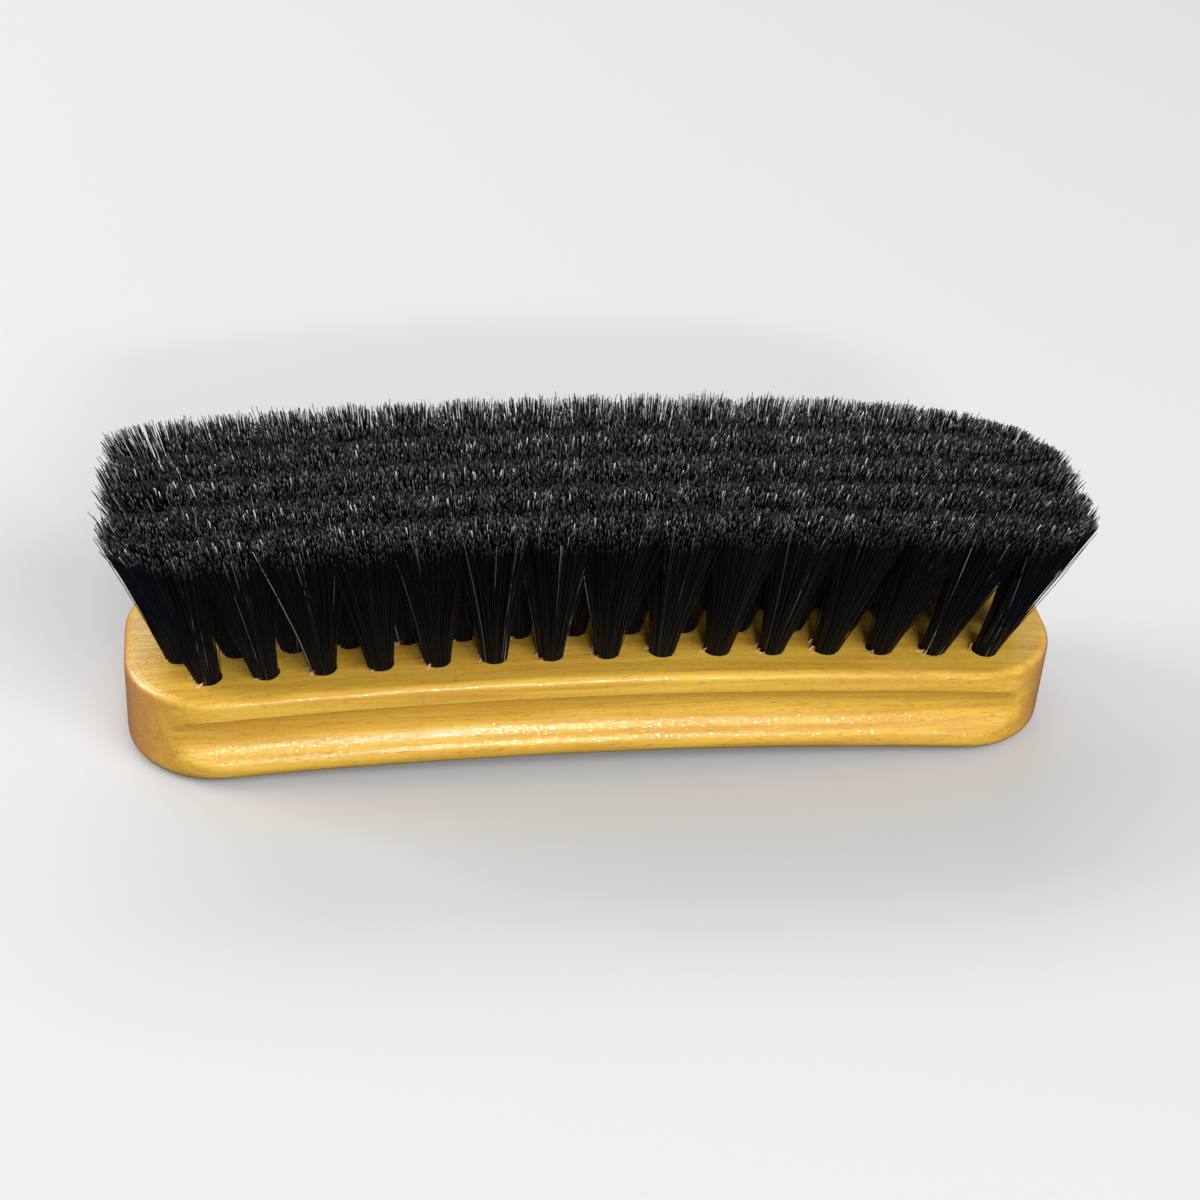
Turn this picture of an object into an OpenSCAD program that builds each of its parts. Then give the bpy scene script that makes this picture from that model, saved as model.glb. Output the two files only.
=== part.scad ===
// Shoe shine brush: a bowed beech block, drilled in five staggered rows, with
// folded horsehair tufts that wire staples hold in the drillings.
// The brush lies on the back of its block, bristles up. X runs along the block,
// Y across it and Z up. The origin is on the table, under the block's middle.

/* [Block] */
// Length of the block
block_length = 170; // [150:1:200]
// Width of the block
block_width = 44.5; // [42:0.5:60]
// Thickness of the block, square to its bow
block_thickness = 18; // [16:0.5:24]
// Height of the middle of the underside above the table
bow = 3.4; // [2:0.1:4.5]
// Radius of the four corners, seen from above
corner_radius = 18; // [14:0.5:20]
// Rounding of the edge round the drilled face
top_edge_radius = 1.4; // [0.5:0.1:2]
// Rounding of the edge round the underside
rim_radius = 2.8; // [1.5:0.1:3.5]
// Depth to which the two resting lands are sanded flat
land_depth = 0.3; // [0.1:0.05:0.5]

/* [Finger groove] */
// Distance from the drilled face down to the groove's upper lip
lip_drop = 3.6; // [3:0.1:5]
// Rounding of the groove's upper lip
lip_radius = 0.5; // [0.3:0.1:1]
// Depth of the groove at its deepest
groove_depth = 2.8; // [1.5:0.1:3.5]

/* [Drilling] */
// Spacing of the tufts along a row
tuft_pitch = 10; // [8:0.1:10.5]
// Spacing of the rows
row_spacing = 7.1; // [6:0.1:7.5]
// Number of tufts in each of the two longer rows
long_row_count = 16; // [8:1:16]
// Diameter of the tuft holes
hole_diameter = 5; // [4:0.1:5.5]
// Depth of the tuft holes along their own axes, to the drill's shoulder
hole_depth = 10.5; // [9:0.5:11]
// Angle of the drill's point
drill_point_angle = 118; // [90:1:140]

/* [Tufts] */
// Length of the hair from the drilled face to its cut tips
hair_length = 30.4; // [20:0.2:40]
// Spacing of the tuft tips along a row
tip_pitch = 11.3; // [10.5:0.1:12]
// Spacing of the rows of tips
tip_row_spacing = 8.8; // [8:0.1:10]
// Distance of a tuft's outer locks from its middle, at the tips
tip_spread = 3.6; // [2.5:0.1:4]
// Thickness of a lock of hair where it leaves the wood
lock_root_width = 1.3; // [0.8:0.1:1.4]
// Thickness of a lock of hair at its tip
lock_tip_width = 1.9; // [1:0.1:2]
// Play between a tuft's root and its hole
root_clearance = 0.05; // [0.02:0.01:0.1]

/* [Staples] */
// Diameter of the staple wire
wire_diameter = 0.6; // [0.4:0.05:0.8]
// Distance between the two legs of a staple, centre to centre
staple_width = 2.8; // [2:0.1:3]
// Length of a staple's straight legs
leg_length = 4.5; // [3.5:0.1:5]
// Angle of the staples to the row
staple_turn = 30; // [0:5:90]
// Play between a staple and the wood and hair round it
staple_clearance = 0.04; // [0.02:0.01:0.08]

/* [Hidden] */

half_width = block_width / 2;
corner_x = block_length / 2 - corner_radius;
corner_y = half_width - corner_radius;
cut = 5;

// The faces of the block are arcs about one axis under the table.
// Near its ends the underside dips below the table by the depth of the lands, and is cut flat there.
land_end = block_length / 2 - rim_radius;
bow_radius = (pow(land_end, 2) + pow(bow + land_depth, 2)) / (2 * (bow + land_depth));
arc_z = bow - bow_radius;
function arched(x, height) = arc_z + sqrt(pow(bow_radius + height, 2) - x * x);

// The groove is an arc that flows into a bead at its lip and into the rim.
lip_z = block_thickness - lip_drop;
bead_gap = lip_z - rim_radius;
bead_shift = 2 * groove_depth * (rim_radius - lip_radius) / bead_gap;
groove_drop = (bead_gap - bead_shift) / 2;
groove_radius = (pow(groove_drop, 2) + pow(groove_depth, 2)) / (2 * groove_depth) - lip_radius;
groove_y = half_width - groove_depth + groove_radius;
groove_z = lip_z - groove_drop;
rim_angle = atan2(groove_z - rim_radius, groove_y - half_width + rim_radius);
lip_angle = atan2(lip_z - groove_z, groove_y - half_width + lip_radius);

// Holes and roots are drawn on their own axes, with the drilled face at zero.
hole_radius = hole_diameter / 2;
root_radius = hole_radius - root_clearance;
root_top = -0.4;
root_depth = hole_depth - root_clearance / sin(drill_point_angle / 2);
crown_z = -hole_depth;
wire_radius = wire_diameter / 2;
leg_point = wire_diameter;

// Locks start this far down in the root, on a ring that fits the hole.
lock_start = 1.6;
ring_locks = 5;
lock_ring = hole_radius - lock_root_width * 0.75;
lock_curl = 1.4;
lock_steps = 2;

function row_count(row) = row % 2 == 0 ? long_row_count - 1 : long_row_count;
function tuft_index(row, i) = i - (row_count(row) - 1) / 2;

// Where a tuft's axis meets the drilled face
function tuft_base(row, i) = let (x = tuft_index(row, i) * tuft_pitch) [x, row * row_spacing, arched(x, block_thickness)];

// How far hair that ends the given distance to the side reaches up
function reach(side) = sqrt(pow(hair_length, 2) - pow(norm(side), 2));
function tuft_side(row, i) = [tuft_index(row, i) * (tip_pitch - tuft_pitch), row * (tip_row_spacing - row_spacing)];
function tuft_lean(row, i) = asin(norm(tuft_side(row, i)) / hair_length);
function tuft_heading(row, i) = let (side = tuft_side(row, i)) atan2(side[1], side[0]);

// A lock's middle at step s, from its root (below 0) through the drilled face (0) to its tip (1)
function lock_point(row, i, ring, s) =
    let (
        base = tuft_base(row, i),
        side = tuft_side(row, i),
        out = norm(ring),
        tip_side = side + ring * tip_spread,
        grown = lock_ring + (tip_spread - lock_ring) * pow(max(s, 0), lock_curl),
        xy = side * s + ring * grown
    )
    [base[0] + xy[0], base[1] + xy[1], base[2] + s * (out > 0 ? reach(tip_side) : reach(side))];

// The three corners of a lock round its middle
function lock_section(middle, width, heading) =
    [for (k = [0 : 2]) middle + width / sqrt(3) * [cos(heading + 120 * k), sin(heading + 120 * k), 0]];

// The side of the block from the underside up to the drilled face, as points of
// distance in from the upright outline, depth of groove and height
corner_steps = 8;
bow_steps = 12;
rim_steps = 4;
bead_steps = 2;
groove_steps = 6;
top_steps = 3;
side_profile = concat(
    [for (k = [0 : rim_steps])
        let (a = -90 + 90 * k / rim_steps)
        [rim_radius * (1 - cos(a)), 0, rim_radius * (1 + sin(a))]],
    [for (k = [1 : bead_steps])
        let (a = rim_angle * k / bead_steps)
        [0, rim_radius * (1 - cos(a)), rim_radius * (1 + sin(a))]],
    [for (k = [1 : groove_steps])
        let (a = 180 + rim_angle - (rim_angle + lip_angle) * k / groove_steps)
        [0, half_width - groove_y - groove_radius * cos(a), groove_z + groove_radius * sin(a)]],
    [for (k = [1 : bead_steps])
        let (a = -lip_angle * (1 - k / bead_steps))
        [0, lip_radius * (1 - cos(a)), lip_z + lip_radius * sin(a)]],
    [for (k = [0 : top_steps])
        let (a = 90 * k / top_steps)
        [top_edge_radius * (1 - cos(a)), 0, block_thickness - top_edge_radius * (1 - sin(a))]]
);

// The outline of the block from above: places round it, each with the way it faces
function corner_places(x, y, first) =
    [for (k = [0 : corner_steps])
        let (a = first + 90 * k / corner_steps)
        [x + corner_radius * cos(a), y + corner_radius * sin(a), cos(a), sin(a)]];
function side_places(way) =
    [for (k = [1 : bow_steps - 1])
        [way * corner_x * (1 - 2 * k / bow_steps), way * half_width, 0, way]];
outline = concat(
    corner_places(corner_x, corner_y, 0),
    side_places(1),
    corner_places(-corner_x, corner_y, 90),
    corner_places(-corner_x, -corner_y, 180),
    side_places(-1),
    corner_places(corner_x, -corner_y, 270)
);

// A point of the block's skin. The groove runs straight on past the corners and so runs out on them.
function skin_point(place, level) =
    let (
        x = place[0] - place[2] * level[0],
        y = place[1] - place[3] * level[0],
        grooved = sign(y) * min(abs(y), half_width - level[1])
    )
    [x, grooved, max(0, arched(x, level[2]))];

// The undrilled block: its side profile lofted round the outline, between its two bowed faces
module blank() {
    count = len(outline);
    levels = len(side_profile);
    top = (levels - 1) * count;
    points = [for (level = side_profile, place = outline) skin_point(place, level)];
    wall = [for (row = [0 : levels - 2], k = [0 : count - 1])
        let (a = row * count + k, b = row * count + (k + 1) % count)
        each [[a, a + count, b], [b, a + count, b + count]]];
    strips = [for (k = [0 : count / 2 - 2]) [k, k + 1, count - 2 - k, count - 1 - k]];
    lid = [for (strip = strips) [for (k = [3 : -1 : 0]) top + strip[k]]];
    polyhedron(points, concat(strips, wall, lid));
}

// Puts its children on a tuft's axis, where it meets the drilled face
module at_tuft(row, i) {
    translate(tuft_base(row, i))
        rotate([0, tuft_lean(row, i), tuft_heading(row, i)])
            children();
}

module each_tuft(row) {
    for (i = [0 : row_count(row) - 1])
        at_tuft(row, i)
            children();
}

// The outline of a staple, with the given play all round
module staple_outline(play) {
    outside = staple_width / 2 + wire_radius + play;
    inside = staple_width / 2 - wire_radius - play;
    difference() {
        union() {
            circle(r = outside, $fn = 48);
            translate([-outside, -leg_length])
                square([2 * outside, leg_length]);
            for (side = [-1, 1])
                translate([side * staple_width / 2, -leg_length])
                    polygon([
                        [-wire_radius - play, 0],
                        [0, -leg_point],
                        [wire_radius + play, 0]
                    ]);
        }
        circle(r = inside, $fn = 48);
        translate([-inside, -leg_length - leg_point])
            square([2 * inside, leg_length + leg_point]);
    }
}

module staple(play) {
    rotate([0, 0, staple_turn])
        translate([0, 0, crown_z])
            rotate([90, 0, 0])
                linear_extrude(wire_diameter + 2 * play, center = true)
                    staple_outline(play);
}

// A drilled shape with its cone, from its shoulder up to the given top
module drilled_shape(radius, shoulder, top) {
    rotate_extrude($fn = 48)
        polygon([
            [0, -shoulder - radius / tan(drill_point_angle / 2)],
            [radius, -shoulder],
            [radius, top],
            [0, top]
        ]);
}

module tuft_hole() {
    drilled_shape(hole_radius, hole_depth, cut);
}

// The folded root of a tuft, wrapped round its staple's crown
module tuft_root() {
    difference() {
        drilled_shape(root_radius, root_depth, root_top);
        staple(staple_clearance);
    }
}

// One lock of hair, from the root to its cut tip
module lock(row, i, ring) {
    heading = norm(ring) > 0 ? atan2(ring[1], ring[0]) : tuft_heading(row, i);
    start = -lock_start / hair_length;
    steps = [start, for (k = [1 : lock_steps]) k / lock_steps];
    points = [for (s = steps)
        each lock_section(
            lock_point(row, i, ring, s),
            lock_root_width + (lock_tip_width - lock_root_width) * max(s, 0),
            heading
        )];
    sides = [for (level = [0 : lock_steps - 1], k = [0 : 2])
        let (a = 3 * level + k, b = 3 * level + (k + 1) % 3)
        each [[a, a + 3, b], [b, a + 3, b + 3]]];
    last = 3 * lock_steps;
    polyhedron(points, concat([[0, 1, 2]], sides, [[last + 2, last + 1, last]]));
}

module tuft(row, i) {
    at_tuft(row, i)
        tuft_root();
    lock(row, i, [0, 0]);
    for (k = [0 : ring_locks - 1])
        let (heading = tuft_heading(row, i) + 360 / ring_locks * k)
            lock(row, i, [cos(heading), sin(heading)]);
}

// The blank, drilled and stapled row by row up to the given one
module drilled_block(last_row) {
    difference() {
        if (last_row > -2)
            drilled_block(last_row - 1);
        else
            blank();
        each_tuft(last_row) {
            tuft_hole();
            staple(staple_clearance);
        }
    }
}

module block() {
    color([0.9, 0.72, 0.34])
        drilled_block(2);
}

module tuft_row(row) {
    color([0.07, 0.07, 0.08])
        for (i = [0 : row_count(row) - 1])
            tuft(row, i);
}

module staple_row(row) {
    color([0.72, 0.73, 0.75])
        each_tuft(row)
            staple(0);
}

block();
tuft_row(-2);  // tuft_row_1
tuft_row(-1);  // tuft_row_2
tuft_row(0);  // tuft_row_3
tuft_row(1);  // tuft_row_4
tuft_row(2);  // tuft_row_5
staple_row(-2);  // staple_row_1
staple_row(-1);  // staple_row_2
staple_row(0);  // staple_row_3
staple_row(1);  // staple_row_4
staple_row(2);  // staple_row_5
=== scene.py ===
"""The looks of a horsehair shine brush: lacquered beech, fanned hair, wire staples and a plain stage."""

import math
from functools import partial
from types import SimpleNamespace

import bmesh
import bpy
from bpy.props import FloatProperty, FloatVectorProperty, IntProperty, PointerProperty
from mathutils import Matrix, Vector


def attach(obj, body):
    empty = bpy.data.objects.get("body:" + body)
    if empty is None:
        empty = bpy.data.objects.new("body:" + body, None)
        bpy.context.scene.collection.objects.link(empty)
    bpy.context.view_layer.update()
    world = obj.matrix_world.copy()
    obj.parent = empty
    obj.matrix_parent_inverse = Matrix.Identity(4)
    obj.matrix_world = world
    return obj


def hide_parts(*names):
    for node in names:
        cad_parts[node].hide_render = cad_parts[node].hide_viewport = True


bl_info = {
    "name": "Shine Brush Dresser",
    "version": (1, 0, 0),
    "blender": (4, 5, 0),
    "location": "3D View > Sidebar > Brush",
    "description": "Dresses a drilled brush block with lacquered wood, fanned hair and staples",
    "category": "Object",
}

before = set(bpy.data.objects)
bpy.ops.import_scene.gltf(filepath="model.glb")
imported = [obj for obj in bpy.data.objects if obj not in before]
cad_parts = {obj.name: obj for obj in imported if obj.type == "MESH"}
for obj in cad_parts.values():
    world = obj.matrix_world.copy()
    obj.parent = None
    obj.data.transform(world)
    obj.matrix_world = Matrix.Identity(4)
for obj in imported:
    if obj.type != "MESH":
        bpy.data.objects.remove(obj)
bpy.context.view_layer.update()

MM = 0.001
ROWS = (-2, -1, 0, 1, 2)


def linear(hex_colour):
    """An sRGB hex colour as the linear RGBA that Blender's sockets take."""
    parts = [int(hex_colour[k:k + 2], 16) / 255 for k in (1, 3, 5)]
    bent = [c / 12.92 if c <= 0.04045 else ((c + 0.055) / 1.055) ** 2.4 for c in parts]
    return (*bent, 1.0)


def add_node(tree, kind, inputs=None, **settings):
    """Adds a node, applies its settings, then links or sets the inputs that are named."""
    node = tree.nodes.new(kind)
    for name, value in settings.items():
        setattr(node, name, value)
    for key, value in (inputs or {}).items():
        socket = node.inputs[key]
        if isinstance(value, bpy.types.NodeSocket):
            tree.links.new(value, socket)
        else:
            socket.default_value = value
    return node


def maths_node(tree, operation, *values):
    """A number worked out from one to three others."""
    return add_node(tree, "ShaderNodeMath", dict(enumerate(values)), operation=operation).outputs[0]


def joined_node(tree, x, y, z):
    """Three numbers as a vector."""
    return add_node(tree, "ShaderNodeCombineXYZ", {0: x, 1: y, 2: z}).outputs[0]


def parted(tree, vector):
    """The three numbers of a vector."""
    return add_node(tree, "ShaderNodeSeparateXYZ", {0: vector}).outputs


def ranged(tree, value, low, high, to_low=0.0, to_high=1.0):
    """A value carried from one range to another, and kept within it."""
    return add_node(
        tree, "ShaderNodeMapRange",
        {"Value": value, "From Min": low, "From Max": high, "To Min": to_low, "To Max": to_high},
    ).outputs[0]


def mixed(tree, share, first, second):
    """Two colours mixed."""
    return add_node(
        tree, "ShaderNodeMix", {0: share, 6: first, 7: second}, data_type="RGBA").outputs[2]


def new_material(name):
    """An empty node material with its output, and its tree."""
    material = bpy.data.materials.new(name)
    material.use_nodes = True
    material.node_tree.nodes.clear()
    return material, material.node_tree


def colour_steps(tree, factor, steps):
    """A colour ramp through (position, linear colour) steps, as its colour output."""
    ramp = add_node(tree, "ShaderNodeValToRGB", {"Fac": factor})
    stops = ramp.color_ramp.elements
    while len(stops) < len(steps):
        stops.new(0.5)
    for stop, (position, colour) in zip(stops, steps):
        stop.position = position
        stop.color = colour
    return ramp.outputs["Color"]


def finish_surface(tree, inputs):
    """Ends a material's tree in one shader with the given inputs."""
    shader = add_node(tree, "ShaderNodeBsdfPrincipled", inputs)
    add_node(tree, "ShaderNodeOutputMaterial", {"Surface": shader.outputs["BSDF"]})


class BrushBlockSizes(bpy.types.PropertyGroup):
    """Sizes of the wooden block, as in the part's source"""

    length: FloatProperty(
        name="Length", description="Length of the block", default=0.170, unit="LENGTH")
    width: FloatProperty(
        name="Width", description="Width of the block", default=0.0445, unit="LENGTH")
    thickness: FloatProperty(
        name="Thickness", description="Thickness, square to the bow", default=0.018, unit="LENGTH")
    bow: FloatProperty(
        name="Bow", description="Height of the middle of the underside", default=0.0034,
        unit="LENGTH")
    corner_radius: FloatProperty(
        name="Corner radius", description="Radius of the corners from above", default=0.018,
        unit="LENGTH")
    top_edge: FloatProperty(
        name="Top edge", description="Rounding of the drilled face's edge", default=0.0014,
        unit="LENGTH")
    rim: FloatProperty(
        name="Rim", description="Rounding of the underside's edge", default=0.0028, unit="LENGTH")
    land_depth: FloatProperty(
        name="Land depth", description="How deep the resting lands are sanded", default=0.0003,
        unit="LENGTH")
    lip_drop: FloatProperty(
        name="Lip drop", description="From the drilled face down to the groove's lip",
        default=0.0036, unit="LENGTH")
    lip_radius: FloatProperty(
        name="Lip radius", description="Rounding of the groove's lip", default=0.0005,
        unit="LENGTH")
    groove_depth: FloatProperty(
        name="Groove depth", description="Depth of the finger groove", default=0.0028,
        unit="LENGTH")


class BrushTuftSizes(bpy.types.PropertyGroup):
    """Sizes of the drilling and the hair"""

    pitch: FloatProperty(
        name="Pitch", description="Spacing of the tufts along a row", default=0.010,
        unit="LENGTH")
    row_spacing: FloatProperty(
        name="Row spacing", description="Spacing of the rows", default=0.0071, unit="LENGTH")
    long_row_count: IntProperty(
        name="Tufts in a long row", description="Tufts in each of the two longer rows",
        default=16)
    hole_radius: FloatProperty(
        name="Hole radius", description="Radius of the drillings at their mouths", default=0.0023,
        unit="LENGTH")
    hole_depth: FloatProperty(
        name="Hole depth", description="Depth of the drillings to the drill's shoulder",
        default=0.0105, unit="LENGTH")
    hair_length: FloatProperty(
        name="Hair length", description="From the drilled face to the tips", default=0.0304,
        unit="LENGTH")
    tip_pitch: FloatProperty(
        name="Tip pitch", description="Spacing of the tuft tips along a row", default=0.0113,
        unit="LENGTH")
    tip_row_spacing: FloatProperty(
        name="Tip row spacing", description="Spacing of the rows of tips", default=0.0088,
        unit="LENGTH")
    spread_along: FloatProperty(
        name="Spread along", description="Reach of a tuft's tips along its row",
        default=0.0070, unit="LENGTH")
    spread_across: FloatProperty(
        name="Spread across", description="Reach of a tuft's tips across its row",
        default=0.0060, unit="LENGTH")
    hair_radius: FloatProperty(
        name="Hair radius", description="Radius of one drawn hair", default=0.00009,
        unit="LENGTH", precision=5)
    hairs: IntProperty(
        name="Hairs", description="Hairs drawn in each tuft", default=600)
    unevenness: FloatProperty(
        name="Unevenness", description="How much the cut length varies", default=0.0012,
        unit="LENGTH")
    wild_share: FloatProperty(
        name="Wild share", description="Share of the hairs that stray outwards", default=0.1,
        subtype="FACTOR")


class BrushColours(bpy.types.PropertyGroup):
    """Colours of the finishes"""

    wood_light: FloatVectorProperty(
        name="Light wood", description="Palest wood between the growth rings",
        default=linear("#F6C54A")[:3], subtype="COLOR")
    wood_deep: FloatVectorProperty(
        name="Deep wood", description="Wood in the denser growth rings",
        default=linear("#E3AB3C")[:3], subtype="COLOR")
    wood_end: FloatVectorProperty(
        name="End grain", description="End grain, where the lacquer soaks in",
        default=linear("#DC9146")[:3], subtype="COLOR")
    wood_end_dot: FloatVectorProperty(
        name="End grain dot", description="Fibres cut across at the ends",
        default=linear("#BC7434")[:3], subtype="COLOR")
    ray_fleck: FloatVectorProperty(
        name="Ray fleck", description="Short dark flecks of beech",
        default=linear("#8A5418")[:3], subtype="COLOR")
    torn_wood: FloatVectorProperty(
        name="Torn wood", description="Raw fibres that the drill lifted",
        default=linear("#EBCDB2")[:3], subtype="COLOR")
    hair: FloatVectorProperty(
        name="Hair", description="Dyed black hair",
        default=linear("#0B1118")[:3], subtype="COLOR")
    # The colour of the cut ends' painted highlight and painted glints
    hair_tip_highlight: FloatVectorProperty(
        name="Hair tip", description="Freshly cut ends",
        default=linear("#ECEEE8")[:3], subtype="COLOR")
    hair_pale: FloatVectorProperty(
        name="Pale hair", description="The few hairs that took no dye",
        default=linear("#A6A79F")[:3], subtype="COLOR")
    floor: FloatVectorProperty(
        name="Floor", description="Plain pale floor",
        default=linear("#DADBDC")[:3], subtype="COLOR")


# How finely the block's curves are divided, and how wide a flat strip backs each rounded edge
CORNER_STEPS = 20
BOW_STEPS = 48
RIM_STEPS = 8
BEAD_STEPS = 4
GROOVE_STEPS = 16
TOP_STEPS = 6
EDGE_SUPPORT = 0.35 * MM
MERGE_DISTANCE = 1e-7


def block_form(sizes):
    """The values that the source works out from the block's sizes, and its arc over X."""
    half = sizes.width / 2
    land_end = sizes.length / 2 - sizes.rim
    sagitta = sizes.bow + sizes.land_depth
    bow_radius = (land_end ** 2 + sagitta ** 2) / (2 * sagitta)
    lip_z = sizes.thickness - sizes.lip_drop
    gap = lip_z - sizes.rim
    shift = 2 * sizes.groove_depth * (sizes.rim - sizes.lip_radius) / gap
    drop = (gap - shift) / 2
    groove_radius = (drop ** 2 + sizes.groove_depth ** 2) / (2 * sizes.groove_depth)
    groove_radius -= sizes.lip_radius
    groove_y = half - sizes.groove_depth + groove_radius
    groove_z = lip_z - drop
    return SimpleNamespace(
        half=half,
        bow_radius=bow_radius,
        arc_z=sizes.bow - bow_radius,
        lip_z=lip_z,
        groove_radius=groove_radius,
        groove_y=groove_y,
        groove_z=groove_z,
        rim_angle=math.atan2(groove_z - sizes.rim, groove_y - half + sizes.rim),
        lip_angle=math.atan2(lip_z - groove_z, groove_y - half + sizes.lip_radius),
    )


def arched(form, x, height):
    """Height over the table of the arc that runs the given distance above the underside."""
    return form.arc_z + math.sqrt((form.bow_radius + height) ** 2 - x * x)


def side_profile(sizes, form):
    """Inset, depth of groove and height of each level of the side, from the underside up."""
    levels = [(sizes.rim + EDGE_SUPPORT, 0.0, 0.0)]
    for k in range(RIM_STEPS + 1):
        a = math.radians(-90 + 90 * k / RIM_STEPS)
        levels.append((sizes.rim * (1 - math.cos(a)), 0.0, sizes.rim * (1 + math.sin(a))))
    for k in range(1, BEAD_STEPS + 1):
        a = form.rim_angle * k / BEAD_STEPS
        levels.append((0.0, sizes.rim * (1 - math.cos(a)), sizes.rim * (1 + math.sin(a))))
    for k in range(1, GROOVE_STEPS + 1):
        a = math.pi + form.rim_angle - (form.rim_angle + form.lip_angle) * k / GROOVE_STEPS
        depth = form.half - form.groove_y - form.groove_radius * math.cos(a)
        levels.append((0.0, depth, form.groove_z + form.groove_radius * math.sin(a)))
    for k in range(1, BEAD_STEPS + 1):
        a = -form.lip_angle * (1 - k / BEAD_STEPS)
        depth = sizes.lip_radius * (1 - math.cos(a))
        levels.append((0.0, depth, form.lip_z + sizes.lip_radius * math.sin(a)))
    for k in range(TOP_STEPS + 1):
        a = math.radians(90 * k / TOP_STEPS)
        height = sizes.thickness - sizes.top_edge * (1 - math.sin(a))
        levels.append((sizes.top_edge * (1 - math.cos(a)), 0.0, height))
    levels.append((sizes.top_edge + EDGE_SUPPORT, 0.0, sizes.thickness))
    return levels


def outline_places(sizes, form):
    """Places round the block seen from above, each with the way it faces."""
    corner_x = sizes.length / 2 - sizes.corner_radius
    corner_y = form.half - sizes.corner_radius
    places = []

    def corner(x, y, first):
        for k in range(CORNER_STEPS + 1):
            a = math.radians(first + 90 * k / CORNER_STEPS)
            reach = (math.cos(a), math.sin(a))
            places.append((
                x + sizes.corner_radius * reach[0], y + sizes.corner_radius * reach[1], *reach))

    def side(way):
        for k in range(1, BOW_STEPS):
            places.append((way * corner_x * (1 - 2 * k / BOW_STEPS), way * form.half, 0, way))

    corner(corner_x, corner_y, 0)
    side(1)
    corner(-corner_x, corner_y, 90)
    corner(-corner_x, -corner_y, 180)
    side(-1)
    corner(corner_x, -corner_y, 270)
    return places


def skin_point(form, place, level):
    """A point of the block's skin: the groove runs straight on and so runs out on the corners."""
    inset, groove, height = level
    x = place[0] - place[2] * inset
    y = place[1] - place[3] * inset
    y = math.copysign(min(abs(y), form.half - groove), y)
    return x, y, max(0.0, arched(form, x, height))


def blank_mesh(sizes, form):
    """The undrilled block: its side profile lofted round the outline, with bowed faces."""
    places = outline_places(sizes, form)
    levels = side_profile(sizes, form)
    count = len(places)
    points = [skin_point(form, place, level) for level in levels for place in places]
    faces = []
    for row in range(len(levels) - 1):
        for k in range(count):
            a, b = row * count + k, row * count + (k + 1) % count
            faces.append((a, b, b + count, a + count))
    top = (len(levels) - 1) * count
    for k in range(count // 2 - 1):
        strip = (k, k + 1, count - 2 - k, count - 1 - k)
        faces.append(strip[::-1])
        faces.append(tuple(top + index for index in strip))
    mesh = bpy.data.meshes.new("block_blank")
    mesh.from_pydata(points, [], faces)
    close_mesh(mesh)
    return mesh


def close_mesh(mesh):
    """Merges doubles and turns every face outwards."""
    work = bmesh.new()
    work.from_mesh(mesh)
    bmesh.ops.remove_doubles(work, verts=work.verts, dist=MERGE_DISTANCE)
    bmesh.ops.recalc_face_normals(work, faces=work.faces)
    work.to_mesh(mesh)
    work.free()


def row_count(tufts, row):
    """Tufts in a row: every second row has one fewer, so the rows are staggered."""
    return tufts.long_row_count - 1 if row % 2 == 0 else tufts.long_row_count


def tuft_seats(sizes, form, tufts, row):
    """Where each tuft of a row meets the drilled face, and how far its tips lie to the side."""
    seats = []
    for i in range(row_count(tufts, row)):
        index = i - (row_count(tufts, row) - 1) / 2
        x = index * tufts.pitch
        base = Vector((x, row * tufts.row_spacing, arched(form, x, sizes.thickness)))
        side = Vector((
            index * (tufts.tip_pitch - tufts.pitch),
            row * (tufts.tip_row_spacing - tufts.row_spacing),
            0.0,
        ))
        seats.append((base, side))
    return seats


def seat_matrix(tufts, base, side):
    """Turns Z into the direction of a tuft that stands at the given place."""
    lean = math.asin(side.length / tufts.hair_length)
    heading = math.atan2(side.y, side.x)
    turn = Matrix.Rotation(heading, 4, "Z") @ Matrix.Rotation(lean, 4, "Y")
    return Matrix.Translation(base) @ turn


# The drill, its point, the wear at a hole's mouth and how far the drill stands out of the wood
DRILL_SIDES = 40
DRILL_POINT = math.radians(118 / 2)
MOUTH_WEAR = 0.08 * MM
DRILL_RUN_OUT = 3 * MM


def drill_mesh(sizes, form, tufts):
    """All the drills in one mesh, each a cone, a bore and a slightly worn mouth."""
    radius = tufts.hole_radius
    steps = [
        (radius, -tufts.hole_depth),
        (radius, -2 * MOUTH_WEAR),
        (radius + MOUTH_WEAR, 0.2 * MOUTH_WEAR),
        (radius + MOUTH_WEAR, DRILL_RUN_OUT),
    ]
    point = (0.0, 0.0, -tufts.hole_depth - radius / math.tan(DRILL_POINT))
    points, faces = [], []
    for row in ROWS:
        for base, side in tuft_seats(sizes, form, tufts, row):
            place = seat_matrix(tufts, base, side)
            first = len(points)
            points.append(place @ Vector(point))
            for r, z in steps:
                for k in range(DRILL_SIDES):
                    a = math.tau * k / DRILL_SIDES
                    points.append(place @ Vector((r * math.cos(a), r * math.sin(a), z)))
            ring = first + 1
            for k in range(DRILL_SIDES):
                n = (k + 1) % DRILL_SIDES
                faces.append((first, ring + n, ring + k))
                for level in range(len(steps) - 1):
                    a = ring + level * DRILL_SIDES
                    b = a + DRILL_SIDES
                    faces.append((a + k, a + n, b + n, b + k))
            last = ring + (len(steps) - 1) * DRILL_SIDES
            faces.append(tuple(range(last, last + DRILL_SIDES)))
    mesh = bpy.data.meshes.new("drills")
    mesh.from_pydata(points, [], faces)
    close_mesh(mesh)
    return mesh


def shown(name, data):
    """A new object in the scene, at the origin."""
    piece = bpy.data.objects.new(name, data)
    bpy.context.scene.collection.objects.link(piece)
    return piece


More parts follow.
